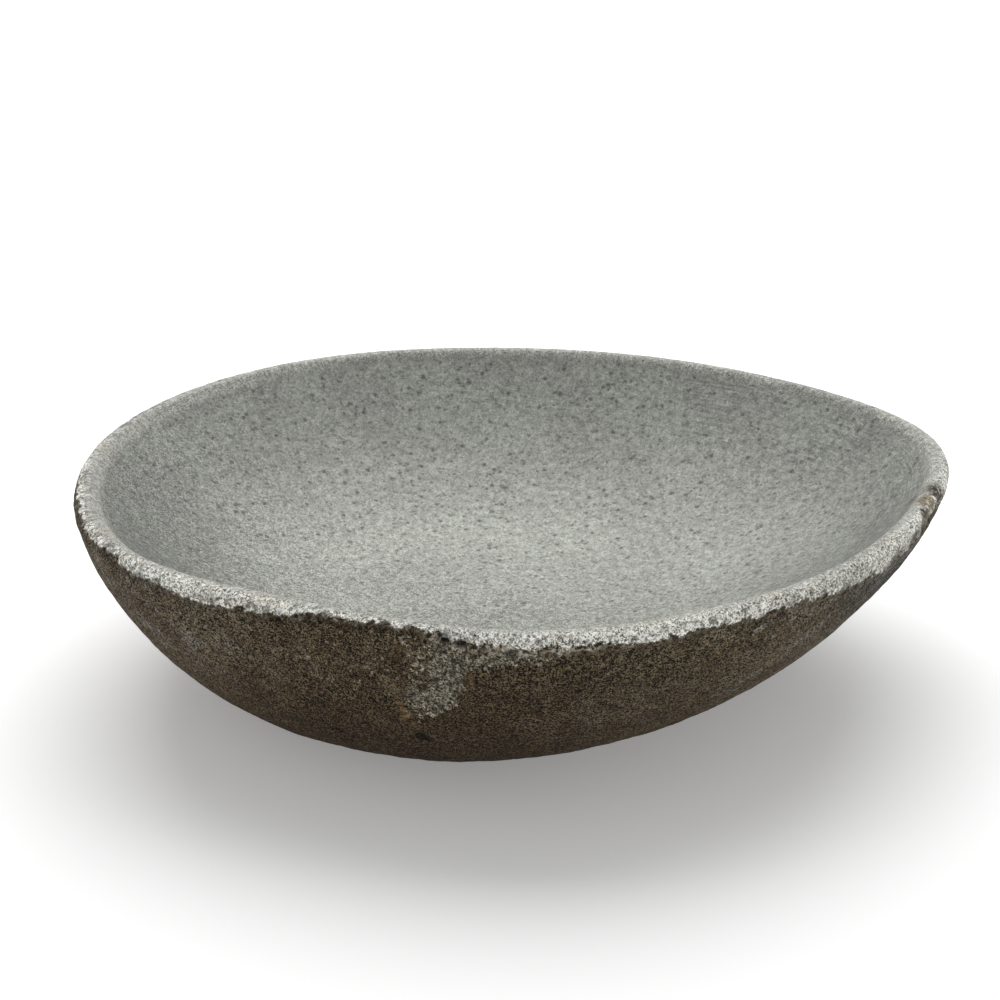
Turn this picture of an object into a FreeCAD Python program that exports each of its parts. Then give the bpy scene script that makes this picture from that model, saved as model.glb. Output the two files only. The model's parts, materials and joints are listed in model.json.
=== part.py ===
import FreeCAD, Part
import os
import Sketcher

# A shallow bowl ground out of one river stone.
# Millimetres, +Z up, +X towards the pointed end of the plan, -Y towards its blunt middle corner.
# The origin is on the flat sole's plane, at the middle of the stone's bounding box in plan.

NODE = "stone_bowl"

DIMENSIONS = [
    ("bowl_height", 90.0),        # flat sole to lip
    ("sole_scale", 0.41),         # size of the sole's outline, as a part of the lip's outline
    ("sole_shift_x", -30.0),      # the sole lies off the middle of the lip
    ("sole_shift_y", 3.0),
    ("sole_cut", 1.5),            # thickness planed off the cobble to make it stand
    ("side_fall", 1.42),          # how soon the side turns in below the lip; higher is later
    ("lip_width", 8.0),
    ("lip_outer_round", 4.5),
    ("lip_inner_round", 1.5),
    ("dish_depth", 56.0),         # lip to the lowest point of the dish
    ("dish_power", 2.8),          # 2 is a parabola; higher has steeper walls and a flatter floor
    ("dish_shift_x", -6.0),       # the dish's floor lies off the middle of the lip
    ("dish_overcut", 5.0),        # the dish's cutter starts this far above the lip
    ("dish_flare", 1.03),         # and is this much wider there
    ("planing_reach", 400.0),     # side of the square that planes the sole
]

# Control points of the lip's outline, a closed cubic curve, anticlockwise from the pointed end:
# x, y, and the fullness of the side below that point (higher is fuller).
LIP_POINTS = [
    (187, 11, 2.0),
    (170, 73, 2.2),
    (88, 140, 2.3),
    (2, 160, 2.3),
    (-94, 150, 2.3),
    (-163, 86, 2.2),
    (-186, -1, 2.0),
    (-157, -93, 1.4),
    (-87, -128, 2.1),
    (5, -169, 1.7),
    (88, -132, 1.9),
    (140, -88, 1.85),
]

# Depths of the side's cross-sections: 0 is the lip, 1 is the sole.
SIDE_LEVELS = [0.0, 0.25, 0.5, 0.72, 0.88, 0.97, 1.0]

# Sizes of the dish's cross-sections: 1 is its mouth, 0 is its lowest point.
DISH_SIZES = [1.0, 0.92, 0.82, 0.7, 0.55, 0.38, 0.2]


def make_sheet(doc):
    """Put every driving number in a spreadsheet, one row each, with its name as the alias."""
    sheet = doc.addObject("Spreadsheet::Sheet", "Dimensions")
    rows = list(DIMENSIONS)
    for number, (x, y, fullness) in enumerate(LIP_POINTS, start=1):
        rows.append((f"lip_x_{number:02d}", x))
        rows.append((f"lip_y_{number:02d}", y))
        rows.append((f"fullness_{number:02d}", fullness))
    for row, (alias, value) in enumerate(rows, start=1):
        sheet.set(f"A{row}", alias)
        sheet.set(f"B{row}", str(value))
        sheet.setAlias(f"B{row}", alias)
    doc.recompute()
    return sheet


def origin_plane(body, role):
    """Find one of the body's own origin planes."""
    return next(plane for plane in body.Origin.OriginFeatures if plane.Role == role)


def level_sketch(body, name, height):
    """Start a sketch on a horizontal plane; height is an expression."""
    sketch = body.newObject("Sketcher::SketchObject", name)
    sketch.AttachmentSupport = [(origin_plane(body, "XY_Plane"), "")]
    sketch.MapMode = "FlatFace"
    sketch.setExpression("AttachmentOffset.Base.z", height)
    return sketch


def closed_curve_sketch(body, name, height, point_expressions):
    """Draw a closed cubic curve whose control points are bound to the spreadsheet."""
    sketch = level_sketch(body, name, height)
    start_points = [FreeCAD.Vector(x, y, 0) for x, y, _ in LIP_POINTS]
    curve = Part.BSplineCurve(start_points, None, None, True, 3, None, False)
    curve_index = sketch.addGeometry(curve, False)
    sketch.exposeInternalGeometry(curve_index)
    for number, (x_expression, y_expression) in enumerate(point_expressions, start=1):
        for axis, expression in (("X", x_expression), ("Y", y_expression)):
            start = start_points[number - 1]
            value = start.x if axis == "X" else start.y
            # Exposed control points follow the curve in the geometry list; 3 is a circle's centre.
            constraint = Sketcher.Constraint(f"Distance{axis}", -1, 1, curve_index + number, 3, value)
            index = sketch.addConstraint(constraint)
            constraint_name = f"{axis.lower()}_{number:02d}"
            sketch.renameConstraint(index, constraint_name)
            sketch.setExpression(f"Constraints.{constraint_name}", expression)
    return sketch


def side_points(level):
    """Expressions of a side section's control points, between the lip's and the sole's."""
    pairs = []
    for number in range(1, len(LIP_POINTS) + 1):
        part_way = f"(1 - {level}^Dimensions.side_fall)^(1 / Dimensions.fullness_{number:02d})"
        pair = []
        for axis in ("x", "y"):
            lip = f"Dimensions.lip_{axis}_{number:02d}"
            sole = f"(Dimensions.sole_scale * {lip} + Dimensions.sole_shift_{axis})"
            pair.append(f"{sole} + ({lip} - {sole}) * {part_way}")
        pairs.append(pair)
    return pairs


def dish_points(size):
    """Expressions of a dish section's control points, inside the lip and shrinking to the floor."""
    pairs = []
    for number in range(1, len(LIP_POINTS) + 1):
        lip_x = f"Dimensions.lip_x_{number:02d}"
        lip_y = f"Dimensions.lip_y_{number:02d}"
        inset = f"(1 - Dimensions.lip_width / sqrt({lip_x}^2 + {lip_y}^2))"
        x_expression = f"{lip_x} * {inset} * {size} + Dimensions.dish_shift_x * (1 - {size})"
        y_expression = f"{lip_y} * {inset} * {size}"
        pairs.append((x_expression, y_expression))
    return pairs


def add_loft(body, kind, name, sections):
    """Loft through the sections, in order."""
    loft = body.newObject(kind, name)
    loft.Profile = sections[0]
    loft.Sections = sections[1:]
    loft.Ruled = False
    body.Document.recompute()
    return loft


def add_cobble(body):
    """The rounded stone itself, before any of it is ground away."""
    sections = []
    for number, level in enumerate(SIDE_LEVELS):
        height = (
            f"Dimensions.bowl_height - (Dimensions.bowl_height + Dimensions.sole_cut) * {level}"
        )
        name = f"SideSection{number}"
        sections.append(closed_curve_sketch(body, name, height, side_points(level)))
    return add_loft(body, "PartDesign::AdditiveLoft", "Cobble", sections)


def add_flat_sole(body):
    """Plane the underside flat at Z = 0."""
    sketch = level_sketch(body, "SolePlaning", "0")
    corners = [(-1, -1), (1, -1), (1, 1), (-1, 1)]
    for (x, y), (next_x, next_y) in zip(corners, corners[1:] + corners[:1]):
        start = FreeCAD.Vector(x, y, 0)
        end = FreeCAD.Vector(next_x, next_y, 0)
        sketch.addGeometry(Part.LineSegment(start, end), False)
    for line in range(4):
        sketch.addConstraint(Sketcher.Constraint("Coincident", line, 2, (line + 1) % 4, 1))
    for line in (0, 2):
        sketch.addConstraint(Sketcher.Constraint("Horizontal", line))
    for line in (1, 3):
        sketch.addConstraint(Sketcher.Constraint("Vertical", line))
    sketch.addConstraint(Sketcher.Constraint("Symmetric", 0, 1, 2, 1, -1, 1))
    for name, kind, line in (("width", "DistanceX", 0), ("length", "DistanceY", 1)):
        index = sketch.addConstraint(Sketcher.Constraint(kind, line, 1, line, 2, 2.0))
        sketch.renameConstraint(index, name)
        sketch.setExpression(f"Constraints.{name}", "Dimensions.planing_reach")
    planing = body.newObject("PartDesign::Pocket", "FlatSole")
    planing.Profile = sketch
    planing.setExpression("Length", "Dimensions.sole_cut * 2")
    body.Document.recompute()
    return planing


def add_dish(body):
    """The hollow ground into the top."""
    mouth_height = "Dimensions.bowl_height + Dimensions.dish_overcut"
    sections = [closed_curve_sketch(body, "DishSection0", mouth_height, dish_points("Dimensions.dish_flare"))]
    for number, size in enumerate(DISH_SIZES, start=1):
        depth = f"Dimensions.dish_depth * (1 - {size}^Dimensions.dish_power)"
        height = f"Dimensions.bowl_height - {depth}"
        sections.append(closed_curve_sketch(body, f"DishSection{number}", height, dish_points(size)))
    return add_loft(body, "PartDesign::SubtractiveLoft", "Dish", sections)


def lip_edges(shape, height):
    """Names of the edges that lie in the lip's plane, the inner one first."""
    found = []
    for number, edge in enumerate(shape.Edges, start=1):
        box = edge.BoundBox
        if abs(box.ZMin - height) < 0.01 and abs(box.ZMax - height) < 0.01:
            found.append((edge.Length, f"Edge{number}"))
    return [name for _, name in sorted(found)]


def add_round(body, name, base, edge_name, radius_alias):
    """Round one closed edge."""
    fillet = body.newObject("PartDesign::Fillet", name)
    fillet.Base = (base, [edge_name])
    fillet.setExpression("Radius", f"Dimensions.{radius_alias}")
    body.Document.recompute()
    return fillet


def make_bowl(doc, sheet):
    """The whole stone bowl, a single piece."""
    body = doc.addObject("PartDesign::Body", "StoneBowl")
    body.Label = NODE
    body.Placement = FreeCAD.Placement()
    cobble = add_cobble(body)
    sole = add_flat_sole(body)
    dish = add_dish(body)
    height = sheet.bowl_height
    outer = add_round(body, "LipOuterRound", dish, lip_edges(dish.Shape, height)[-1], "lip_outer_round")
    inner = add_round(body, "LipInnerRound", outer, lip_edges(outer.Shape, height)[0], "lip_inner_round")
    body.Tip = inner
    doc.recompute()
    steps = [cobble, sole, dish, outer, inner]
    for before, after in zip(steps, steps[1:]):
        if after.Shape.Volume >= before.Shape.Volume:
            raise RuntimeError(f"{after.Name} removed nothing")
    return body


def check(doc, parts):
    """Stop if any object failed or any sub-part has no valid solid."""
    for item in doc.Objects:
        if "Invalid" in item.State or "Error" in item.State:
            raise RuntimeError(f"{item.Name} failed: {item.State}")
    for part in parts:
        if part.Shape.isNull() or not part.Shape.isValid() or len(part.Shape.Solids) != 1:
            raise RuntimeError(f"{part.Label} has no valid solid")


def main():
    doc = FreeCAD.newDocument("RiverStoneBowl")
    sheet = make_sheet(doc)
    parts = [make_bowl(doc, sheet)]
    check(doc, parts)
    os.makedirs("parts", exist_ok=True)
    for part in parts:
        part.Shape.exportStep(os.path.join("parts", f"{part.Label}.step"))
        print(f"{part.Label}: {part.Shape.Volume / 1000:.0f} cubic cm")


main()
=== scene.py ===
from collections import namedtuple
import itertools
import json
import math

import bpy
import numpy as np
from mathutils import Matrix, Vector
from mathutils.bvhtree import BVHTree


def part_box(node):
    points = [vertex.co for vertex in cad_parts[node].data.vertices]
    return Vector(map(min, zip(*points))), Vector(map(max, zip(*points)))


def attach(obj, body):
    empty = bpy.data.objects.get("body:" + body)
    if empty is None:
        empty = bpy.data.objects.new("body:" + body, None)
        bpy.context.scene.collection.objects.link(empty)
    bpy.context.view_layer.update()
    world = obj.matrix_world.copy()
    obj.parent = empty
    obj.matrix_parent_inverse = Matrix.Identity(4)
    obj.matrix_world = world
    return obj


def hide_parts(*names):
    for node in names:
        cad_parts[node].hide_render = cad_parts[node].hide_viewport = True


# A bowl ground out of one river stone. The CAD node gives its mean shape. The piece made here is
# that shape as a finer closed mesh, with the broken lip, the chips and the weathering worked in.

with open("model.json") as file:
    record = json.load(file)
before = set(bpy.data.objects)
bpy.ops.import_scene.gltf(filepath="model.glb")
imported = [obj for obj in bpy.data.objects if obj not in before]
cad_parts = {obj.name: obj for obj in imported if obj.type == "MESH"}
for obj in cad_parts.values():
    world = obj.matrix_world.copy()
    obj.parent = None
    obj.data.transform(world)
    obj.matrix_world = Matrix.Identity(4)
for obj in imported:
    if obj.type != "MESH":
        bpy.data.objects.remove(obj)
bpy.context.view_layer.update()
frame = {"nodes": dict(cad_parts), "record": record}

MM = 0.001
NODE = "stone_bowl"
LIP_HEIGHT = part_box(NODE)[1].z
SOLE_CENTRE = next(m["pos_m"] for m in frame["record"]["mounts"] if m["name"] == "sole")

# ---------------------------------------------------------------- the mesh's rings

COLUMNS = 896

# Bands of rings from the middle of the dish outwards: how many rings, one vertex kept of every so
# many columns, and the relative distance between rings.
DISH_BANDS = [
    (2, 64, 5.0), (3, 32, 4.5), (4, 16, 4.0), (8, 8, 3.6),
    (13, 4, 3.0), (20, 2, 2.2), (14, 1, 1.2),
]

# The lip's rings stand round a centre line this far below its top.
LIP_RINGS = 26
LIP_CORE_DEPTH = 6 * MM

# The lip's inner edge is this far round its rings.
INNER_EDGE_SHARE = 0.3

# Bands of rings from the lip down the side to the middle of the sole, as above.
SIDE_BANDS = [
    (28, 1, 1.0), (40, 2, 1.15), (10, 4, 1.6), (7, 8, 2.0),
    (3, 16, 2.4), (2, 32, 2.6), (1, 64, 2.6),
]

SMOOTHING_PASSES = 40

# How far off the rays start that find the side and the lip.
RAY_REACH = 0.4
LIP_RAY_REACH = 5 * LIP_CORE_DEPTH

# ---------------------------------------------------------------- the stone's shape

# The broken, pale part of the lip round the bowl: (angle from +X in degrees, its width in mm, how
# far its lower edge wanders up and down in mm).
BROKEN_BAND = [
    (-172, 9, 1.4), (-158, 10, 1.6), (-150, 10, 1.6), (-146, 11.2, 1.6), (-141, 14, 1.6),
    (-134, 14.3, 1.8), (-127, 12.6, 1.8), (-120, 10, 1.7), (-113, 8.6, 1.6), (-104, 7.2, 1.6),
    (-98, 11, 4.0), (-84, 11.5, 3.6), (-77, 12.8, 2.2), (-65, 13.4, 2.0), (-56, 12.6, 2.2),
    (-48, 12.5, 2.6), (-28, 18, 4.8), (-6, 18, 4.6), (6, 13, 1.6), (30, 10, 1.6),
    (60, 9, 1.6), (104, 11, 3.0), (150, 9, 1.6),
]

# Where flakes have broken off the outside: the flake's outline as (angle round the bowl, mm below
# the lip's top), its depth and the width of its sloping edge in mm, and how much pale fresh stone
# it shows, from 0 to 1.
Flake = namedtuple("Flake", "outline depth edge fresh")
FLAKES = [
    Flake(
        [
            (-100.5, 1), (-96.2, 3), (-95.8, 14), (-97.3, 25), (-98.6, 34),
            (-103, 42), (-105.6, 37), (-103.6, 26), (-101.8, 14),
        ],
        1.7, 2.0, 1.0,
    ),
    Flake(
        [(-106.5, 1), (-99, 1), (-102, 40), (-106, 49), (-108, 38), (-105.5, 24)],
        1.1, 3.5, 0.46,
    ),
    Flake([(-127, 0), (-105, 0), (-106, 36), (-114, 42), (-124, 30)], 0.9, 6.0, 0.22),
    Flake(
        [(-96, 2), (-82, 2), (-84, 10), (-88, 13), (-92.5, 14.5), (-96, 15.5)],
        0.8, 3.0, 0.8,
    ),
    Flake([(-18, 1), (-4, 2), (-5, 9), (-12, 13), (-19, 8)], 1.0, 3.0, 0.15),
    Flake([(24, 6), (41, 5), (38, 22), (30, 27)], 1.4, 3.0, 0.4),
    Flake([(96, 4), (113, 6), (110, 24), (103, 33), (98, 20)], 1.9, 2.4, 0.9),
    Flake([(146, 14), (158, 10), (160, 28), (150, 32)], 1.3, 3.5, 0.3),
]
MM_PER_DEGREE = 2.6

# Pits open only this far or further outside the lip's inner edge.
PIT_START = 2 * MM

# Pits: where they are, half their width and height and their depth in mm, then how much ochre
# stain they hold and how far they are darkened, from 0 to 1.
Pit = namedtuple("Pit", "angle below half_width half_height depth stain dirt")
PITS = [
    Pit(-105.9, 9.5, 3.6, 1.7, 1.2, 0.3, 0.75),
    Pit(-107.3, 13.5, 2.6, 1.4, 0.9, 0.2, 0.6),
    Pit(-96.2, 20, 1.3, 3.0, 0.3, 0.50, 0.0),
    Pit(-97.0, 27, 1.6, 1.3, 0.3, 0.4, 0.0),
    Pit(-107.6, 38, 1.5, 3.0, 0.3, 0.75, 0.0),
    Pit(-106.8, 43, 1.6, 3.2, 0.3, 0.75, 0.0),
    Pit(-106.0, 49, 1.3, 3.0, 0.3, 0.55, 0.0),
    Pit(-102.6, 4.2, 2.0, 1.4, 0.9, 0.0, 0.5),
    Pit(-99.8, 2.8, 2.4, 2.2, 1.7, 0.0, 1.0),
    Pit(-97.2, 4.6, 2.6, 2.2, 2.0, 0.0, 1.0),
    Pit(-90.3, 7.2, 2.2, 1.6, 1.1, 0.0, 0.7),
    Pit(-86.0, 6.8, 1.8, 1.3, 0.8, 0.6, 0.4),
    Pit(-114.5, 4.6, 3.0, 1.3, 0.9, 0.0, 0.5),
    Pit(-118.6, 5.4, 2.2, 1.2, 0.9, 0.0, 0.55),
    Pit(-123.9, 7.2, 2.2, 1.6, 1.4, 0.0, 0.9),
    Pit(-129.0, 9.2, 2.4, 1.3, 0.8, 0.0, 0.5),
    Pit(-105.7, 56, 3.0, 2.7, 1.9, 0.0, 1.0),
    Pit(-121.8, 60, 3.4, 1.4, 0.8, 0.0, 0.8),
    Pit(-118.7, 64.5, 3.4, 1.4, 0.8, 0.0, 0.7),
    Pit(-81.3, 7.6, 2.6, 1.4, 1.2, 0.3, 0.8),
    Pit(-68.0, 10.0, 2.2, 1.2, 1.0, 0.1, 0.8),
    Pit(-52.0, 7.5, 2.6, 1.2, 0.9, 0.0, 0.7),
    Pit(-10.8, 0.5, 7.0, 4.2, 0.7, 0.75, 0.5),
    Pit(-6.8, 3.6, 8.0, 6.5, 0.8, 0.2, 0.95),
    Pit(-14.2, 2.6, 4.5, 3.2, 0.5, 0.1, 0.85),
    Pit(-13.6, 6.5, 8.0, 4.5, 0.7, 0.35, 0.85),
    Pit(-8.5, 9.0, 11.0, 4.6, 0.7, 0.3, 0.85),
    Pit(-19.0, 7.0, 7.0, 3.6, 0.7, 0.15, 0.75),
    Pit(-25.0, 8.0, 8.0, 3.4, 0.6, 0.2, 0.7),
    Pit(176.0, 5.0, 9.0, 2.6, 0.5, 0.4, 0.35),
    Pit(28.0, 5.0, 4.0, 2.0, 1.2, 0.1, 0.7),
    Pit(71.0, 4.5, 3.0, 1.8, 1.2, 0.3, 0.8),
    Pit(139.0, 4.0, 3.0, 1.6, 1.2, 0.2, 0.8),
    Pit(166.0, 6.0, 2.6, 1.4, 1.0, 0.1, 0.8),
]

# How whole-number points are mixed into random numbers.
POINT_FACTORS = (73856093, 19349663, 83492791)
SEED_FACTOR = 2654435761
SHIFTS_AND_FACTORS = ((33, 0xFF51AFD7ED558CCD), (29, 0xC4CEB9FE1A85EC53))
RANDOM_BITS = 24

# What facets() comes to on average.
FACET_MEAN = 0.6

# Stand for a distance not found yet and for the shortest one to divide by.
FAR = 1e9
TINY = 1e-12


def lattice(cells, seed):
    """Repeatable numbers from 0 to 1 for whole-number points."""
    x, y, z = (
        cells[..., axis].astype(np.uint64) * np.uint64(factor)
        for axis, factor in enumerate(POINT_FACTORS)
    )
    mixed = x ^ y ^ z ^ np.uint64(seed * SEED_FACTOR)
    for shift, factor in SHIFTS_AND_FACTORS:
        mixed = (mixed ^ (mixed >> np.uint64(shift))) * np.uint64(factor)
    return (mixed >> np.uint64(64 - RANDOM_BITS)).astype(float) / float(1 << RANDOM_BITS)


def noise(points, size, seed):
    """Smooth noise from -1 to 1; size is how far apart its bumps are."""
    scaled = points / size
    cells = np.floor(scaled).astype(np.int64)
    inside = scaled - cells
    inside = inside * inside * (3 - 2 * inside)
    total = np.zeros(points.shape[:-1])
    for corner in itertools.product((0, 1), repeat=3):
        weight = np.prod(np.where(np.array(corner) == 1, inside, 1 - inside), axis=-1)
        total += weight * lattice(cells + np.array(corner), seed)
    return 2 * total - 1


def rough(points, size, seed, octaves=3):
    """Noise with finer noise on it, each octave half the size and half the height."""
    total = np.zeros(points.shape[:-1])
    for octave in range(octaves):
        total += noise(points, size / 2 ** octave, seed + octave) / 2 ** octave
    return total / (2 - 2 ** (1 - octaves))


def facets(points, size, seed):
    """Shallow scallops from 0 in their middles to 1 where they meet, as in pecked stone."""
    scaled = points / size
    cells = np.floor(scaled).astype(np.int64)
    nearest = np.full(points.shape[:-1], 9.0)
    for step in itertools.product((-1, 0, 1), repeat=3):
        cell = cells + np.array(step)
        jitter = np.stack([lattice(cell, seed + axis) for axis in range(3)], axis=-1)
        nearest = np.minimum(nearest, np.linalg.norm(cell + jitter - scaled, axis=-1))
    return np.clip(nearest, 0, 1)


def soft_step(value, low, high):
    """0 below low, 1 above high, smooth between."""
    part = np.clip((value - low) / (high - low), 0, 1)
    return part * part * (3 - 2 * part)


def cast(tree, starts, directions):
    """Where each ray first meets the stone."""
    pairs = zip(starts.reshape(-1, 3), directions.reshape(-1, 3))
    hits = [tree.ray_cast(Vector(start), Vector(direction))[0] for start, direction in pairs]
    return np.array(hits, float).reshape(starts.shape)


def band_steps(bands):
    """Each ring's column step and its place, from 0 to 1, along a run of bands."""
    steps = [step for rings, step, _ in bands for _ in range(rings)]
    gaps = [gap for rings, _, gap in bands for _ in range(rings)]
    places = np.cumsum(gaps) / sum(gaps)
    return steps, places


def sample_stone():
    """Rings of points on the CAD node, from the middle of the dish to the middle of the sole."""
    mesh = frame["nodes"][NODE].data
    corners = [vertex.co for vertex in mesh.vertices]
    tree = BVHTree.FromPolygons(corners, [tuple(face.vertices) for face in mesh.polygons])
    angles = np.arange(COLUMNS) * 2 * math.pi / COLUMNS
    outward = np.stack([np.cos(angles), np.sin(angles), np.zeros(COLUMNS)], axis=-1)
    up = np.array([0.0, 0.0, 1.0])
    core_height = LIP_HEIGHT - LIP_CORE_DEPTH
    middle = np.zeros((COLUMNS, 3)) + up * core_height
    inner = cast(tree, middle, outward)
    outer = cast(tree, middle + outward * RAY_REACH, -outward)
    core = (inner + outer) / 2

    dish_steps, dish_places = band_steps(DISH_BANDS)
    inner_reach = np.linalg.norm(inner[:, :2], axis=-1)
    radii = dish_places[:-1, None] * inner_reach[None, :]
    starts = outward[None] * radii[..., None] + up * 2 * LIP_HEIGHT
    dish = cast(tree, starts, np.broadcast_to(-up, starts.shape))

    turn = math.pi * (1 - np.arange(LIP_RINGS) / (LIP_RINGS - 1))
    around_lip = np.cos(turn)[:, None, None] * outward[None] + np.sin(turn)[:, None, None] * up
    lip = cast(tree, core[None] + around_lip * LIP_RAY_REACH, -around_lip)

    # The last ring stops half a gap short of the sole's middle.
    side_steps, side_places = band_steps(SIDE_BANDS)
    side_places = side_places * (1 - 0.5 / len(side_places))
    quarter = side_places * math.pi / 2
    outer_reach = np.linalg.norm(outer[:, :2], axis=-1)
    fall = core_height * np.sin(quarter)[:, None]
    drop = np.arctan2(fall, outer_reach[None] * np.cos(quarter)[:, None])
    downward = np.cos(drop)[..., None] * outward[None] - np.sin(drop)[..., None] * up
    sole = np.array([SOLE_CENTRE[0], SOLE_CENTRE[1], 0.0])
    centres = side_places[:, None, None] * sole + up * core_height
    side = cast(tree, centres + downward * RAY_REACH, -downward)

    points = np.concatenate([dish, lip, side])
    steps = dish_steps[:-1] + [1] * LIP_RINGS + side_steps
    for _ in range(SMOOTHING_PASSES):
        points = (np.roll(points, 1, axis=1) + 2 * points + np.roll(points, -1, axis=1)) / 4
    return points, steps, len(dish)


def ring_normals(points):
    """Unit normals that point out of the stone."""
    along = np.roll(points, -1, axis=1) - np.roll(points, 1, axis=1)
    down = np.gradient(points, axis=0)
    normals = np.cross(down, along)
    return normals / np.maximum(np.linalg.norm(normals, axis=-1, keepdims=True), TINY)


def distance_across(points, lip_start):
    """Distance along the surface from the lip's inner edge, less than 0 in the dish."""
    gaps = np.linalg.norm(np.diff(points, axis=0), axis=-1)
    run = np.concatenate([np.zeros((1, COLUMNS)), np.cumsum(gaps, axis=0)])
    return run - run[lip_start + int(LIP_RINGS * INNER_EDGE_SHARE)]


def round_from(angle, middle):
    """Distance round the bowl from the angle of some middle, in millimetres."""
    return ((angle - middle + 180) % 360 - 180) * MM_PER_DEGREE


def below_lip(points):
    """Distance below the lip's top, in millimetres."""
    return (LIP_HEIGHT - points[..., 2]) / MM


def spot(points, normals, angle, fields, pit):
    """The point and the normal nearest to the pit's place on the outside."""
    miss = np.hypot(round_from(angle, pit.angle), below_lip(points) - pit.below)
    miss = np.where(fields["across"] > PIT_START, miss, FAR)
    nearest = np.unravel_index(np.argmin(miss), miss.shape)
    return points[nearest], normals[nearest]


def inside_outline(u, v, outline):
    """Distance inside a closed outline, less than 0 outside it."""
    distance = np.full(u.shape, FAR)
    inside = np.zeros(u.shape, bool)
    for (u0, v0), (u1, v1) in zip(outline, outline[1:] + outline[:1]):
        du, dv = u1 - u0, v1 - v0
        along = np.clip(((u - u0) * du + (v - v0) * dv) / (du ** 2 + dv ** 2), 0, 1)
        distance = np.minimum(distance, np.hypot(u - u0 - along * du, v - v0 - along * dv))
        crosses = (v0 > v) != (v1 > v)
        inside ^= crosses & (u < u0 + (v - v0) * du / (dv or TINY))
    return np.where(inside, distance, -distance)


def work_flakes(points, normals, angle, fields):
    """Take the flakes off the outside and mark their fresh stone."""
    wander = 2.6 * rough(points, 11 * MM, 71) + 1.0 * rough(points, 3 * MM, 75, 2)
    texture = 0.5 * rough(points, 5 * MM, 77) + 0.3 * (facets(points, 2.6 * MM, 83) - FACET_MEAN)
    below_top = soft_step(fields["across"], 2.5 * MM, 7.0 * MM)
    v = below_lip(points)
    depth = np.zeros(points.shape[:2])
    for flake in FLAKES:
        middle = flake.outline[0][0]
        outline = [((corner - middle) * MM_PER_DEGREE, below) for corner, below in flake.outline]
        inside = inside_outline(round_from(angle, middle), v, outline) + wander
        cover = soft_step(inside, 0, flake.edge) * below_top
        depth = np.maximum(depth, cover * (flake.depth + texture))
        fresh = flake.fresh * soft_step(inside, -0.6, 0.8 * flake.edge) * below_top
        fields["fresh"] = np.maximum(fields["fresh"], fresh)
    return points - depth[..., None] * MM * normals


def work_pits(points, normals, angle, fields):
    """Sink the pits and mark their ochre stain and darkening."""
    wobble = 0.3 * rough(points, 2.6 * MM, 81, 2)
    depth = np.zeros(points.shape[:2])
    for pit in PITS:
        centre, normal = spot(points, normals, angle, fields, pit)
        level = np.cross([0, 0, 1], normal)
        level /= np.linalg.norm(level)
        rise = np.cross(normal, level)
        offset = points - centre
        u = offset @ level / (pit.half_width * MM)
        v = offset @ rise / (pit.half_height * MM)
        w = offset @ normal / (max(pit.half_width, pit.half_height) * MM)
        away = np.sqrt(u * u + v * v + w * w) + wobble
        depth = np.maximum(depth, pit.depth * MM * soft_step(away, 1.15, 0.25))
        cover = soft_step(away, 1.25, 0.6)
        fields["stain"] = np.maximum(fields["stain"], cover * pit.stain)
        fields["dirt"] = np.maximum(fields["dirt"], cover * pit.dirt)
    return points - depth[..., None] * normals


def weather(points, lip_start):
    """Work the broken lip, the chips and the natural skin into the rings of points."""
    normals = ring_normals(points)
    across = distance_across(points, lip_start)
    angle = np.degrees(np.arctan2(points[..., 1], points[..., 0]))
    table = np.array(BROKEN_BAND, float)
    band = np.interp(angle, table[:, 0], table[:, 1], period=360) * MM
    band = band + 1.6 * MM * rough(points, 14 * MM, 11) + 1.3 * MM * rough(points, 4.5 * MM, 21, 2)
    ragged = np.interp(angle, table[:, 0], table[:, 2], period=360)
    fields = {"across": across, "band": band - across, "ragged": ragged}
    for name in ("fresh", "stain", "dirt"):
        fields[name] = np.zeros(points.shape[:2])

    on_side = soft_step(across - band, -1.5 * MM, 2 * MM)
    on_dish = 1 - soft_step(across, -2.5 * MM, 1.5 * MM)
    on_lip = (1 - on_side) * (1 - on_dish)
    near_side = soft_step(across, 3 * MM, 9 * MM)
    dish = 0.10 * rough(points, 34 * MM, 31)
    lip = 0.18 * rough(points, 9 * MM, 41)
    lip += (0.05 + 0.15 * near_side) * (facets(points, 3.6 * MM, 44) - FACET_MEAN)
    lip += (0.06 + 0.08 * near_side) * rough(points, 1.9 * MM, 47, 2)
    lip *= 1 - 0.6 * soft_step(points[..., 1], -25 * MM, 40 * MM)
    side = 0.7 * noise(points, 60 * MM, 51) + 0.35 * rough(points, 17 * MM, 53)
    side += 0.30 * (facets(points, 7 * MM, 57) - FACET_MEAN)
    side += 0.20 * rough(points, 3.0 * MM, 59, 2)
    move = (dish * on_dish + lip * on_lip + side * on_side) * MM
    worked = points + normals * move[..., None]
    worked = work_flakes(worked, normals, angle, fields)
    worked = work_pits(worked, normals, angle, fields)
    worked[..., 2] = np.maximum(worked[..., 2], 0.0)
    return worked, fields


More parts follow.
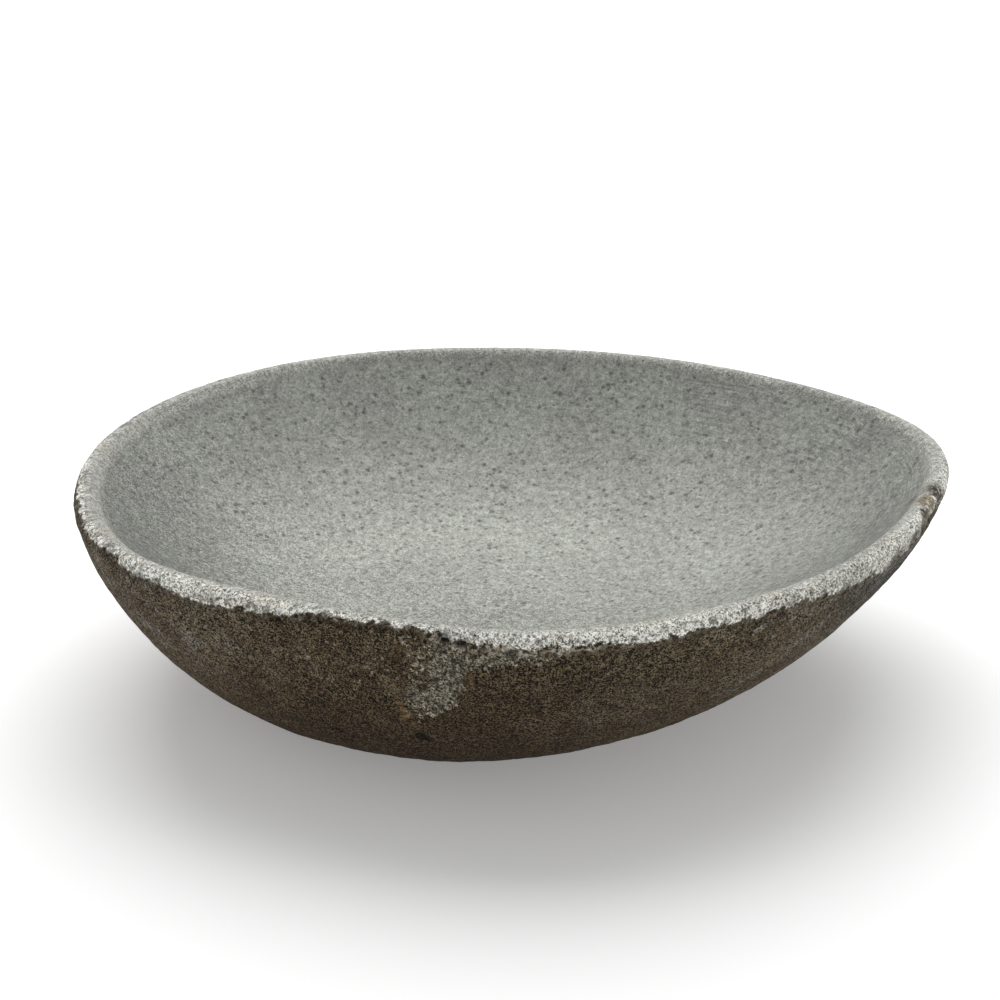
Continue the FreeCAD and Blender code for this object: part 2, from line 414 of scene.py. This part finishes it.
def stitched_faces(ring_starts, ring_sizes):
    """Faces between neighbouring rings, which have the same number of vertices or twice as many."""
    faces = []
    for (start, size), (next_start, next_size) in itertools.pairwise(zip(ring_starts, ring_sizes)):
        for k in range(min(size, next_size)):
            if size == next_size:
                a, b = start + k, start + (k + 1) % size
                c, d = next_start + (k + 1) % size, next_start + k
                faces.append((a, d, c, b))
            elif next_size > size:
                a, b = start + k, start + (k + 1) % size
                fine = [next_start + (2 * k + i) % next_size for i in range(3)]
                faces.append((a, fine[0], fine[1]))
                faces.append((a, fine[1], b))
                faces.append((b, fine[1], fine[2]))
            else:
                c, d = next_start + k, next_start + (k + 1) % next_size
                fine = [start + (2 * k + i) % size for i in range(3)]
                faces.append((fine[0], c, fine[1]))
                faces.append((c, d, fine[1]))
                faces.append((fine[1], d, fine[2]))
    return faces


def make_stone():
    """The bowl's mesh, closed at the middle of the dish and the middle of the sole."""
    rings, steps, lip_start = sample_stone()
    rings, fields = weather(rings, lip_start)
    kept = [ring[::step] for ring, step in zip(rings, steps)]
    sizes = [len(ring) for ring in kept]
    starts = [1 + sum(sizes[:k]) for k in range(len(sizes))]
    vertices = np.concatenate([kept[0].mean(axis=0)[None]] + kept + [kept[-1].mean(axis=0)[None]])
    last = len(vertices) - 1
    faces = [(0, starts[0] + k, starts[0] + (k + 1) % sizes[0]) for k in range(sizes[0])]
    faces += stitched_faces(starts, sizes)
    faces += [(starts[-1] + (k + 1) % sizes[-1], starts[-1] + k, last) for k in range(sizes[-1])]

    mesh = bpy.data.meshes.new("river_stone")
    mesh.from_pydata(vertices.tolist(), [], faces)
    for name, values in fields.items():
        kept_values = [row[::step] for row, step in zip(values, steps)]
        flat = np.concatenate([[kept_values[0].mean()]] + kept_values + [[kept_values[-1].mean()]])
        attribute = mesh.attributes.new(name, "FLOAT", "POINT")
        attribute.data.foreach_set("value", flat.astype(np.float32))
    mesh.shade_smooth()
    mesh.validate()
    stone = bpy.data.objects.new("river_stone", mesh)
    bpy.context.scene.collection.objects.link(stone)
    return stone


# ---------------------------------------------------------------- material


def srgb(red, green, blue):
    """A linear colour from 0-255 screen values."""
    return tuple(((c / 255 + 0.055) / 1.055) ** 2.4 for c in (red, green, blue))


HONED = srgb(145, 146, 140)
HONED_PALE = srgb(151, 153, 146)
DISH_SPECK = srgb(80, 81, 75)
DISH_SPARKLE = srgb(214, 215, 208)

LIP_INNER = srgb(176, 176, 170)
# Partly pale crushed stone, partly painted light against the shade on the lip's outer slope.
LIP_OUTER_PALE_AND_LIT = srgb(240, 239, 230)
LIP_SOIL = srgb(86, 84, 78)
LIP_CREAM = srgb(186, 176, 150)
LIP_PORE = srgb(64, 61, 54)
LIP_GAP = srgb(58, 54, 46)
LIP_SPARKLE = srgb(232, 232, 226)

SKIN = srgb(71, 60, 43)
SKIN_PALE = srgb(84, 75, 59)
# Painted shade towards the bottom of the skin.
SKIN_LOW_SHADE = srgb(61, 44, 15)
SKIN_FRINGE = srgb(48, 42, 33)
HAZE = srgb(116, 111, 104)
SCUFF = srgb(116, 113, 105)

CRUSHED = srgb(163, 156, 143)
OCHRE = srgb(140, 117, 80)
# A near black that darkens the pits.
DARK_FILL = srgb(25, 23, 19)

# Tints multiply the colour under them.
FOOT_TINT = (0.97, 0.90, 0.64)
# Partly the skin's browner colour, partly painted shade towards the middle.
UMBER_AND_SHADE_TINT = (0.70, 0.60, 0.42)
# Painted shade on the upper side, below the lip.
UPPER_SHADE_TINT = (0.77, 0.74, 0.62)
# Painted shade at the right end.
FAR_END_SHADE_TINT = (0.52, 0.60, 0.74)

# Dust is added to the skin's colour, which then stays above the darkest one.
DUST = (1.03, 0.96, 0.76)
DARKEST = (0.003, 0.0025, 0.0018)

# Marks drawn out one way: how long and how wide they are, in millimetres. Pecking strokes are laid
# out round a rim of one radius.
GRINDING_LENGTH = 12
GRINDING_WIDTH = 1.1
STROKE_LENGTH = 5
STROKE_RIM = 160.0
SCUFF_LENGTH = 26
SCUFF_WIDTH = 5
SCUFF_SLANT = (0.57, 0.82)

BUMP_HEIGHT = 0.35 * MM
SPECULAR = 0.18


class Graph:
    """A material's node tree, with a short call for each kind of node used here."""

    def __init__(self, name):
        self.material = bpy.data.materials.new(name)
        self.material.use_nodes = True
        self.tree = self.material.node_tree
        self.shader = self.tree.nodes["Principled BSDF"]

    def node(self, kind, inputs, **settings):
        """A new node; an input is a socket to link from or a plain value."""
        made = self.tree.nodes.new(kind)
        for key, value in settings.items():
            setattr(made, key, value)
        for key, value in inputs.items():
            if isinstance(value, bpy.types.NodeSocket):
                self.tree.links.new(value, made.inputs[key])
            else:
                made.inputs[key].default_value = value
        return made

    def feed(self, name, value):
        """Link a value to one of the shader's inputs."""
        self.tree.links.new(value, self.shader.inputs[name])

    def millimetres(self):
        """The surface point in the object's own frame, in millimetres."""
        return self.scaled(self.node("ShaderNodeTexCoord", {}).outputs["Object"], 1 / MM)

    def attribute(self, name):
        """One of the mesh's fields, in its own unit."""
        return self.node("ShaderNodeAttribute", {}, attribute_name=name).outputs["Fac"]

    def parts(self, point):
        """A vector's x, y and z."""
        return tuple(self.node("ShaderNodeSeparateXYZ", {0: point}).outputs)

    def vector(self, x, y, z=0.0):
        """A vector from its x, y and z."""
        return self.node("ShaderNodeCombineXYZ", {"X": x, "Y": y, "Z": z}).outputs[0]

    def vector_math(self, operation, first, second=(0.0, 0.0, 0.0)):
        inputs = {0: first, 1: second}
        return self.node("ShaderNodeVectorMath", inputs, operation=operation).outputs[0]

    def scaled(self, vector, factor):
        """A vector or a colour times a single value."""
        inputs = {0: vector, 3: factor}
        return self.node("ShaderNodeVectorMath", inputs, operation="SCALE").outputs[0]

    def noise(self, point, size, detail=2.0, roughness=0.5, output="Fac"):
        """Noise from 0 to 1 with bumps about this many millimetres across."""
        inputs = {"Vector": point, "Scale": 1 / size, "Detail": detail, "Roughness": roughness}
        return self.node("ShaderNodeTexNoise", inputs).outputs[output]

    def cells(self, point, size, output="Distance"):
        """Cells this many millimetres across: the distance to their middles, or their colour."""
        inputs = {"Vector": point, "Scale": 1 / size}
        return self.node("ShaderNodeTexVoronoi", inputs).outputs[output]

    def crystals(self, point, size, dark, light, spread=0.3):
        """Crystals this many millimetres across; a low spread has few between dark and light."""
        return self.ramp(self.cells(point, size, "Color"), 0.5 - spread, 0.5 + spread, dark, light)

    def math(self, operation, first, second=0.0, third=0.0):
        inputs = {0: first, 1: second, 2: third}
        return self.node("ShaderNodeMath", inputs, operation=operation).outputs[0]

    def times(self, first, *others):
        """Values multiplied together."""
        for other in others:
            first = self.math("MULTIPLY", first, other)
        return first

    def times_plus(self, first, second, third):
        """first times second, plus third."""
        return self.math("MULTIPLY_ADD", first, second, third)

    def ramp(self, value, low, high, start=0.0, end=1.0):
        """start below low, end above high, smooth between; low may be the greater one."""
        inputs = {"Value": value, "From Min": low, "From Max": high, "To Min": start, "To Max": end}
        made = self.node("ShaderNodeMapRange", inputs, interpolation_type="SMOOTHSTEP")
        return made.outputs["Result"]

    def shaded(self, colour, *ramps):
        """A colour times each of these ramps in turn."""
        for ramp in ramps:
            colour = self.scaled(colour, self.ramp(*ramp))
        return colour

    def mix(self, factor, first, second, blend="MIX"):
        """Two colours mixed; a plain tuple is a constant colour."""
        first, second = (
            colour if isinstance(colour, bpy.types.NodeSocket) else (*colour, 1.0)
            for colour in (first, second)
        )
        inputs = {0: factor, 6: first, 7: second}
        return self.node("ShaderNodeMix", inputs, data_type="RGBA", blend_type=blend).outputs[2]

    def tinted(self, factor, colour, tint):
        """A colour multiplied by a tint, as far as the factor says."""
        return self.mix(factor, colour, tint, "MULTIPLY")

    def dusted(self, colour, amount):
        """A colour with an amount of warm grey added, never quite black."""
        dust = self.scaled(DUST, amount)
        return self.vector_math("MAXIMUM", self.vector_math("ADD", colour, dust), DARKEST)


def stone_material():
    """Grey speckled stone: honed in the dish, crushed on the lip, dark and weathered outside."""
    g = Graph("river_stone")
    point = g.millimetres()
    across = g.times(g.attribute("across"), 1 / MM)
    band = g.times(g.attribute("band"), 1 / MM)
    marks = grinding_marks(g, point, across)
    strokes = pecking_strokes(g, point, across)
    coarse = g.noise(point, 3.2, 2.0, 0.55)
    mottle = g.noise(point, 2.1, 3.0, 0.6)
    patchy = g.math("SUBTRACT", mottle, 0.5)

    dish = dish_colour(g, point, across, coarse, marks)
    lip = lip_colour(g, point, across, band, coarse, strokes)
    colour = skin_colour(g, point, band, coarse)

    flaked = g.ramp(g.times_plus(patchy, 1.8, g.attribute("fresh")), 0.28, 0.72)
    colour = g.mix(flaked, colour, flake_colour(g, point, lip, mottle))
    stained_lip = g.mix(0.45, g.scaled(lip, 0.6), OCHRE)
    colour = g.mix(mixed_zone(g, point, band, mottle), colour, stained_lip)
    wander = g.times(patchy, g.times_plus(g.attribute("ragged"), 2.2, 1.1))
    colour = g.mix(g.ramp(g.math("ADD", wander, band), -0.6, 0.5), colour, lip)
    left = g.ramp(g.parts(point)[0], -60.0, -130.0, 0.0, 2.4)
    lip_from_dish = g.ramp(g.times_plus(mottle, 2.0, g.math("ADD", across, left)), -1.2, 3.4)
    colour = g.mix(lip_from_dish, dish, colour)
    # The pits are darkened, in patches.
    dirt = g.times(g.attribute("dirt"), g.ramp(mottle, 0.38, 0.52, 0.50, 1.0))
    colour = g.mix(dirt, colour, g.scaled(DARK_FILL, g.crystals(point, 0.8, 0.3, 1.7)))
    stain = g.times(g.attribute("stain"), g.ramp(mottle, 0.35, 0.6))
    colour = g.mix(stain, colour, g.scaled(OCHRE, g.crystals(point, 0.6, 0.4, 1.6)))
    g.feed("Base Color", colour)

    roughness = g.ramp(lip_from_dish, 0.0, 1.0, 0.62, 0.92)
    g.feed("Roughness", g.math("ADD", roughness, g.crystals(point, 0.9, -0.07, 0.07)))
    g.shader.inputs["Specular IOR Level"].default_value = SPECULAR
    add_bump(g, point, marks, strokes, coarse, lip_from_dish)
    return g.material


def flake_colour(g, point, lip, mottle):
    """Fresh stone where a flake has come off: the lip's colour, duller and full of dark grains."""
    return g.shaded(
        g.tinted(1.0, lip, CRUSHED),
        (mottle, 0.38, 0.60, 0.34, 0.99),
        (g.cells(point, 0.95, "Color"), 0.30, 0.48, 0.45, 1.10),
        (g.cells(point, 0.45, "Color"), 0.31, 0.50, 0.28, 1.25),
    )


def mixed_zone(g, point, band, mottle):
    """How much crushed stone and ochre shows among the skin just below the band."""
    ragged = g.attribute("ragged")
    below = g.math("DIVIDE", band, g.times(ragged, 1.6))
    x = g.parts(point)[0]
    return g.times(
        g.ramp(ragged, 1.6, 3.2, 0.3, 1.0),
        g.ramp(x, 30.0, 90.0, 1.0, 0.35),
        g.ramp(mottle, 0.42, 0.54),
        g.ramp(below, -1.0, -0.3),
    )


def dish_colour(g, point, across, coarse, marks):
    """Honed grey rock: soft dark specks, tiny bright crystals and faint grinding marks."""
    x, y, _ = g.parts(point)
    patches = g.noise(point, 38.0, 3.0, 0.5)
    colour = g.mix(g.ramp(patches, 0.35, 0.65), HONED, HONED_PALE)
    colour = g.shaded(
        colour,
        (across, -100.0, -15.0, 1.21, 0.94),  # painted light and shade: paler on the floor than on the wall
        (x, -150.0, -60.0, 0.92, 1.0),  # painted shade: darker at both ends
        (x, 105.0, 160.0, 1.0, 0.88),
        (coarse, 0.3, 0.7, 0.84, 1.15),
    )
    colour = g.scaled(colour, g.crystals(point, 0.95, 0.87, 1.13))
    near = g.ramp(g.times_plus(x, 0.4, y), 70.0, -90.0, 0.18, 0.50)
    colour = g.scaled(colour, g.times_plus(g.crystals(point, 0.50, -1.0, 1.0), near, 1.0))
    colour = g.shaded(
        colour,
        (y, 70.0, -90.0, 1.15, 0.77),  # painted shade on the near side, painted light on the far side
        (g.math("ADD", x, y), -180.0, -80.0, 0.88, 1.0),  # and painted shade in the near left corner
    )

    worn = g.times(
        g.ramp(across, -60.0, -6.0, 0.1, 1.0),
        g.ramp(x, 20.0, 110.0, 0.35, 1.0),
        g.ramp(g.noise(point, 24.0, 1.0), 0.40, 0.60, 0.2, 1.0),
    )
    streaks = g.times(worn, g.ramp(marks, 0.35, 0.65, -0.24, 0.14))
    colour = g.scaled(colour, g.math("ADD", streaks, 1.0))

    bent = bent_point(g, point)
    large = g.times(
        g.ramp(g.cells(bent, 4.0), 0.40, 0.12),
        g.ramp(g.noise(point, 4.9, 1.0), 0.40, 0.60),
    )
    small = g.times(
        g.ramp(g.cells(bent, 2.3), 0.45, 0.15),
        g.ramp(g.noise(point, 3.1, 1.0), 0.42, 0.60),
        0.7,
    )
    specks = g.times(g.math("MAXIMUM", large, small), g.ramp(y, -90.0, 50.0, 0.50, 0.80))
    colour = g.mix(specks, colour, DISH_SPECK)
    return g.mix(g.times(sparkles(g, bent), 0.6), colour, DISH_SPARKLE)


def bent_point(g, point):
    """The point moved a little at random, so that crystals come out with uneven outlines."""
    push = g.noise(point, 1.3, 1.0, output="Color")
    return g.vector_math("ADD", point, g.scaled(push, 1.7))


def sparkles(g, point):
    """Small bright crystals, one here and there."""
    shape = g.ramp(g.cells(point, 1.9), 0.26, 0.12)
    return g.times(shape, g.ramp(g.noise(point, 2.4, 1.0), 0.52, 0.64))


def grinding_marks(g, point, across):
    """Noise drawn out round the bowl, alongside the lip."""
    x, y, _ = g.parts(g.scaled(point, 1 / GRINDING_LENGTH))
    return g.noise(g.vector(x, y, g.times(across, 1 / GRINDING_WIDTH)), 1.0, 2.0)


def pecking_strokes(g, point, across):
    """Noise drawn out across the lip."""
    x, y, _ = g.parts(point)
    outward = g.vector_math("NORMALIZE", g.vector(x, y))
    x, y, _ = g.parts(g.scaled(outward, STROKE_RIM))
    strokes = g.noise(g.vector(x, y, g.times(across, 1 / STROKE_LENGTH)), 1.0, 2.0, 0.6)
    on_top = g.ramp(across, 9.0, 5.0)
    return g.times_plus(on_top, g.math("SUBTRACT", strokes, 0.5), 0.5)


def lip_colour(g, point, across, band, coarse, strokes):
    """Crushed rock: pale, sugary grains with dark ones between them, palest where it broke last,
    and on the outer part also painted lighter against the shade on its slope.
    """
    x, y, _ = g.parts(point)
    far_side = g.ramp(g.times_plus(x, 0.1, y), -10.0, 45.0)
    near_side = g.math("SUBTRACT", 1.0, far_side)
    right = g.times(g.ramp(x, 60.0, 125.0), near_side)
    outer = g.times(g.ramp(across, 4.0, 10.5), g.times_plus(far_side, -0.7, 1.0))
    # Paler on the outer part: partly the crushed stone's colour, partly painted light against the
    # shade on the outer slope.
    colour = g.shaded(
        g.mix(outer, LIP_INNER, LIP_OUTER_PALE_AND_LIT),
        (x, -170.0, -110.0, 0.97, 1.0),
        (x, 108.0, 128.0, 1.0, 0.87),
        (x, 138.0, 156.0, 1.0, 1.14),
    )

    soil_reach = g.times_plus(right, 9.5, 3.5)
    soil = g.times(
        g.ramp(g.math("DIVIDE", band, soil_reach), 1.0, 0.25),
        g.ramp(coarse, 0.36, 0.54, 0.45, 1.0),
        g.times_plus(right, 0.28, 0.08),
        near_side,
    )
    colour = g.mix(soil, colour, LIP_SOIL)
    cream = g.times(
        g.ramp(g.noise(point, 19.0), 0.5, 0.75, 0.0, 0.40),
        g.times_plus(far_side, -0.85, 1.0),
        g.times_plus(right, -0.7, 1.0),
    )
    colour = g.mix(cream, colour, LIP_CREAM)

    colour = g.shaded(
        colour,
        (coarse, 0.3, 0.7, 0.90, 1.10),
        (strokes, 0.3, 0.7, 0.84, 1.16),
    )
    grains = g.math("ADD", g.crystals(point, 1.1, -0.30, 0.30), g.crystals(point, 0.5, -0.65, 0.65))
    contrast = g.ramp(outer, 0.0, 0.6, 0.45, 0.84)
    colour = g.scaled(colour, g.times_plus(grains, contrast, 1.0))

    edge = g.ramp(band, 5.0, 0.0, 0.0, 0.10)
    pores = g.times(
        g.ramp(g.cells(point, 1.7), 0.30, 0.12),
        g.ramp(g.math("ADD", g.noise(point, 3.0, 1.0), edge), 0.52, 0.62),
        0.82,
    )
    colour = g.mix(pores, colour, LIP_PORE)
    gaps = g.times(
        g.ramp(g.cells(bent_point(g, point), 2.8), 0.40, 0.62),
        g.ramp(band, 6.5, 1.0),
        g.ramp(band, -7.0, -2.0, 0.3, 1.0),
        g.ramp(g.noise(point, 6.0, 1.0), 0.44, 0.56),
        0.62,
    )
    colour = g.mix(gaps, colour, LIP_GAP)
    return g.mix(g.times(sparkles(g, point), 0.6), colour, LIP_SPARKLE)


def skin_colour(g, point, band, coarse):
    """The cobble's weathered skin: brown-grey and granular, with paler haze, and painted shade
    below the lip, towards the bottom and at the right end.
    """
    x, _, z = g.parts(point)
    tone = g.noise(point, 26.0, 4.0, 0.6)
    colour = g.mix(g.ramp(tone, 0.38, 0.62), SKIN, SKIN_PALE)
    haze = g.times(
        g.ramp(g.noise(point, 14.0, 4.0, 0.65), 0.48, 0.70),
        g.ramp(x, -85.0, -115.0, 0.45, 0.62),
    )
    colour = g.mix(haze, colour, HAZE)
    left = g.ramp(x, -15.0, -60.0, 0.0, 0.30)
    right = g.ramp(x, 62.0, 90.0, 0.0, 0.62)
    colour = g.mix(g.times(scuffs(g, point), g.math("ADD", left, right)), colour, SCUFF)

    # Painted shade: darker and browner towards the bottom.
    low = g.times(g.ramp(z, 80.0, 20.0), g.ramp(x, -10.0, 40.0, 0.74, 0.50))
    colour = g.mix(low, colour, SKIN_LOW_SHADE)
    colour = g.tinted(g.ramp(z, 38.0, 16.0), colour, FOOT_TINT)
    # Paler towards both ends and darker and browner towards the middle: partly the skin's own
    # colour, partly painted light and shade.
    colour = g.shaded(colour, (g.math("ABSOLUTE", x), 45.0, 120.0, 1.0, 1.22))
    from_middle = g.math("ABSOLUTE", g.math("ADD", x, 38.0))
    from_middle = g.times_plus(g.math("SUBTRACT", tone, 0.5), 60.0, from_middle)
    colour = g.tinted(g.ramp(from_middle, 85.0, 20.0), colour, UMBER_AND_SHADE_TINT)
    # Painted shade on the upper side, below the lip.
    upper_shade = g.times(
        g.ramp(x, -5.0, 15.0),
        g.ramp(x, 96.0, 70.0),
        g.ramp(z, 42.0, 66.0),
    )
    colour = g.tinted(upper_shade, colour, UPPER_SHADE_TINT)
    colour = g.shaded(colour, (x, -110.0, -55.0, 0.90, 1.0))
    # Painted shade, cooler and darker, at the right end.
    colour = g.tinted(g.ramp(x, 98.0, 142.0), colour, FAR_END_SHADE_TINT)

    colour = g.shaded(colour, (coarse, 0.3, 0.7, 0.82, 1.16))
    grains = g.crystals(point, 0.66, -0.70, 0.70, 0.15)
    grains = g.math("ADD", grains, g.crystals(point, 0.45, -1.25, 1.25, 0.12))
    grains = g.math("ADD", grains, g.crystals(point, 1.2, -0.20, 0.20))
    colour = g.scaled(colour, g.times_plus(grains, 0.55, 0.92))
    colour = g.dusted(colour, g.times_plus(grains, 0.034, -0.003))
    fringe = g.times(
        g.ramp(band, -4.5, -0.6),
        g.ramp(g.cells(point, 1.5, "Color"), 0.30, 0.52),
        0.78,
    )
    return g.mix(fringe, colour, SKIN_FRINGE)


def scuffs(g, point):
    """Pale scuffs on both flanks that slant down towards the middle."""
    aside, y, z = g.parts(point)
    x = g.times(g.math("ABSOLUTE", aside), -1.0)
    down, over = SCUFF_SLANT
    width = g.times_plus(x, down / SCUFF_WIDTH, g.times(z, over / SCUFF_WIDTH))
    length = g.times_plus(x, over / SCUFF_LENGTH, g.times(z, -down / SCUFF_LENGTH))
    other_flank = g.times(g.math("GREATER_THAN", aside, 0.0), 7.0)
    depth = g.times_plus(y, 1 / SCUFF_LENGTH, other_flank)
    return g.ramp(g.noise(g.vector(width, length, depth), 1.0, 3.0, 0.6), 0.50, 0.66)


def add_bump(g, point, marks, strokes, coarse, lip_from_dish):
    """Relief too fine for the mesh: near nothing in the dish, gritty outside it."""
    fine = g.noise(point, 0.9, 2.0, 0.7)
    grit = g.math("ADD", g.crystals(point, 0.7, 0.0, 0.9), fine)
    grit = g.times_plus(strokes, 0.3, grit)
    rough_height = g.times_plus(coarse, 0.6, grit)
    smooth_height = g.times_plus(fine, 0.2, g.times(marks, 0.25))
    inputs = {0: lip_from_dish, 2: smooth_height, 3: rough_height}
    height = g.node("ShaderNodeMix", inputs).outputs[0]
    inputs = {"Height": height, "Strength": 1.0, "Distance": BUMP_HEIGHT}
    g.feed("Normal", g.node("ShaderNodeBump", inputs).outputs["Normal"])


# ---------------------------------------------------------------- studio

FLOOR_HALF = 4.0
FLOOR_PAINT = (0.9, 0.9, 0.9, 1.0)
FLOOR_ROUGHNESS = 0.9
FLOOR_GLOW = 0.24

# The room's light, weakest in front and strongest behind.
ROOM_FRONT = 0.30
ROOM_BACK = 0.60
WHITE = (1.0, 1.0, 1.0, 1.0)

SOFTBOX_PLACE = (0.0, 0.85, 1.5)
SOFTBOX_SIZE = 1.9
SOFTBOX_WATTS = 30.0

CAMERA_RISE = math.radians(22)
CAMERA_DISTANCE = 1.0
CAMERA_AIM = (-2.35 * MM, -7.13 * MM)
CAMERA_SENSOR = 36
CAMERA_LENS = 90.36
CAMERA_SHIFT = (-0.010, -0.023)


def make_floor():
    """A plain pale floor that glows a little, as a light table does."""
    half = FLOOR_HALF
    corners = [(-half, -half, 0), (half, -half, 0), (half, half, 0), (-half, half, 0)]
    mesh = bpy.data.meshes.new("floor")
    mesh.from_pydata(corners, [], [(0, 1, 2, 3)])
    floor = bpy.data.objects.new("floor", mesh)
    bpy.context.scene.collection.objects.link(floor)
    material = bpy.data.materials.new("floor_paint")
    material.use_nodes = True
    shader = material.node_tree.nodes["Principled BSDF"]
    paint = {
        "Base Color": FLOOR_PAINT,
        "Roughness": FLOOR_ROUGHNESS,
        "Emission Color": WHITE,
        "Emission Strength": FLOOR_GLOW,
    }
    for name, value in paint.items():
        shader.inputs[name].default_value = value
    mesh.materials.append(material)


def add_softbox(name, place, aim, size, watts):
    """A square area light that faces aim."""
    light = bpy.data.lights.new(name, "AREA")
    light.size = size
    light.energy = watts
    holder = bpy.data.objects.new(name, light)
    holder.location = place
    holder.rotation_euler = (Vector(aim) - Vector(place)).to_track_quat("-Z", "Y").to_euler()
    bpy.context.scene.collection.objects.link(holder)


def make_lights():
    """A large softbox above and a little behind, in a dim room that is brighter at the back."""
    world = bpy.data.worlds.new("room")
    world.use_nodes = True
    tree = world.node_tree
    direction = tree.nodes.new("ShaderNodeTexCoord").outputs["Generated"]
    towards_back = tree.nodes.new("ShaderNodeVectorMath")
    towards_back.operation = "DOT_PRODUCT"
    towards_back.inputs[1].default_value = (0, 1, 0)
    tree.links.new(direction, towards_back.inputs[0])
    strength = tree.nodes.new("ShaderNodeMapRange")
    strength.inputs["From Min"].default_value = -1
    strength.inputs["To Min"].default_value = ROOM_FRONT
    strength.inputs["To Max"].default_value = ROOM_BACK
    tree.links.new(towards_back.outputs["Value"], strength.inputs["Value"])
    background = tree.nodes["Background"]
    background.inputs["Color"].default_value = WHITE
    tree.links.new(strength.outputs["Result"], background.inputs["Strength"])
    bpy.context.scene.world = world
    add_softbox("key_light", SOFTBOX_PLACE, (0, 0, LIP_HEIGHT), SOFTBOX_SIZE, SOFTBOX_WATTS)


def make_camera():
    """22 degrees above the lip's plane, a metre from the near side of its middle."""
    aim = Vector((*CAMERA_AIM, LIP_HEIGHT))
    towards_camera = Vector((0, -math.cos(CAMERA_RISE), math.sin(CAMERA_RISE)))
    camera = bpy.data.cameras.new("camera")
    camera.sensor_width = CAMERA_SENSOR
    camera.lens = CAMERA_LENS
    camera.shift_x, camera.shift_y = CAMERA_SHIFT
    holder = bpy.data.objects.new("camera", camera)
    holder.location = aim + CAMERA_DISTANCE * towards_camera
    holder.rotation_euler = (math.pi / 2 - CAMERA_RISE, 0, 0)
    bpy.context.scene.collection.objects.link(holder)
    bpy.context.scene.camera = holder


stone = make_stone()
stone.data.materials.append(stone_material())
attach(stone, "root")
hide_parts(NODE)
make_floor()
make_lights()
make_camera()
bpy.context.scene.view_settings.view_transform = "Standard"
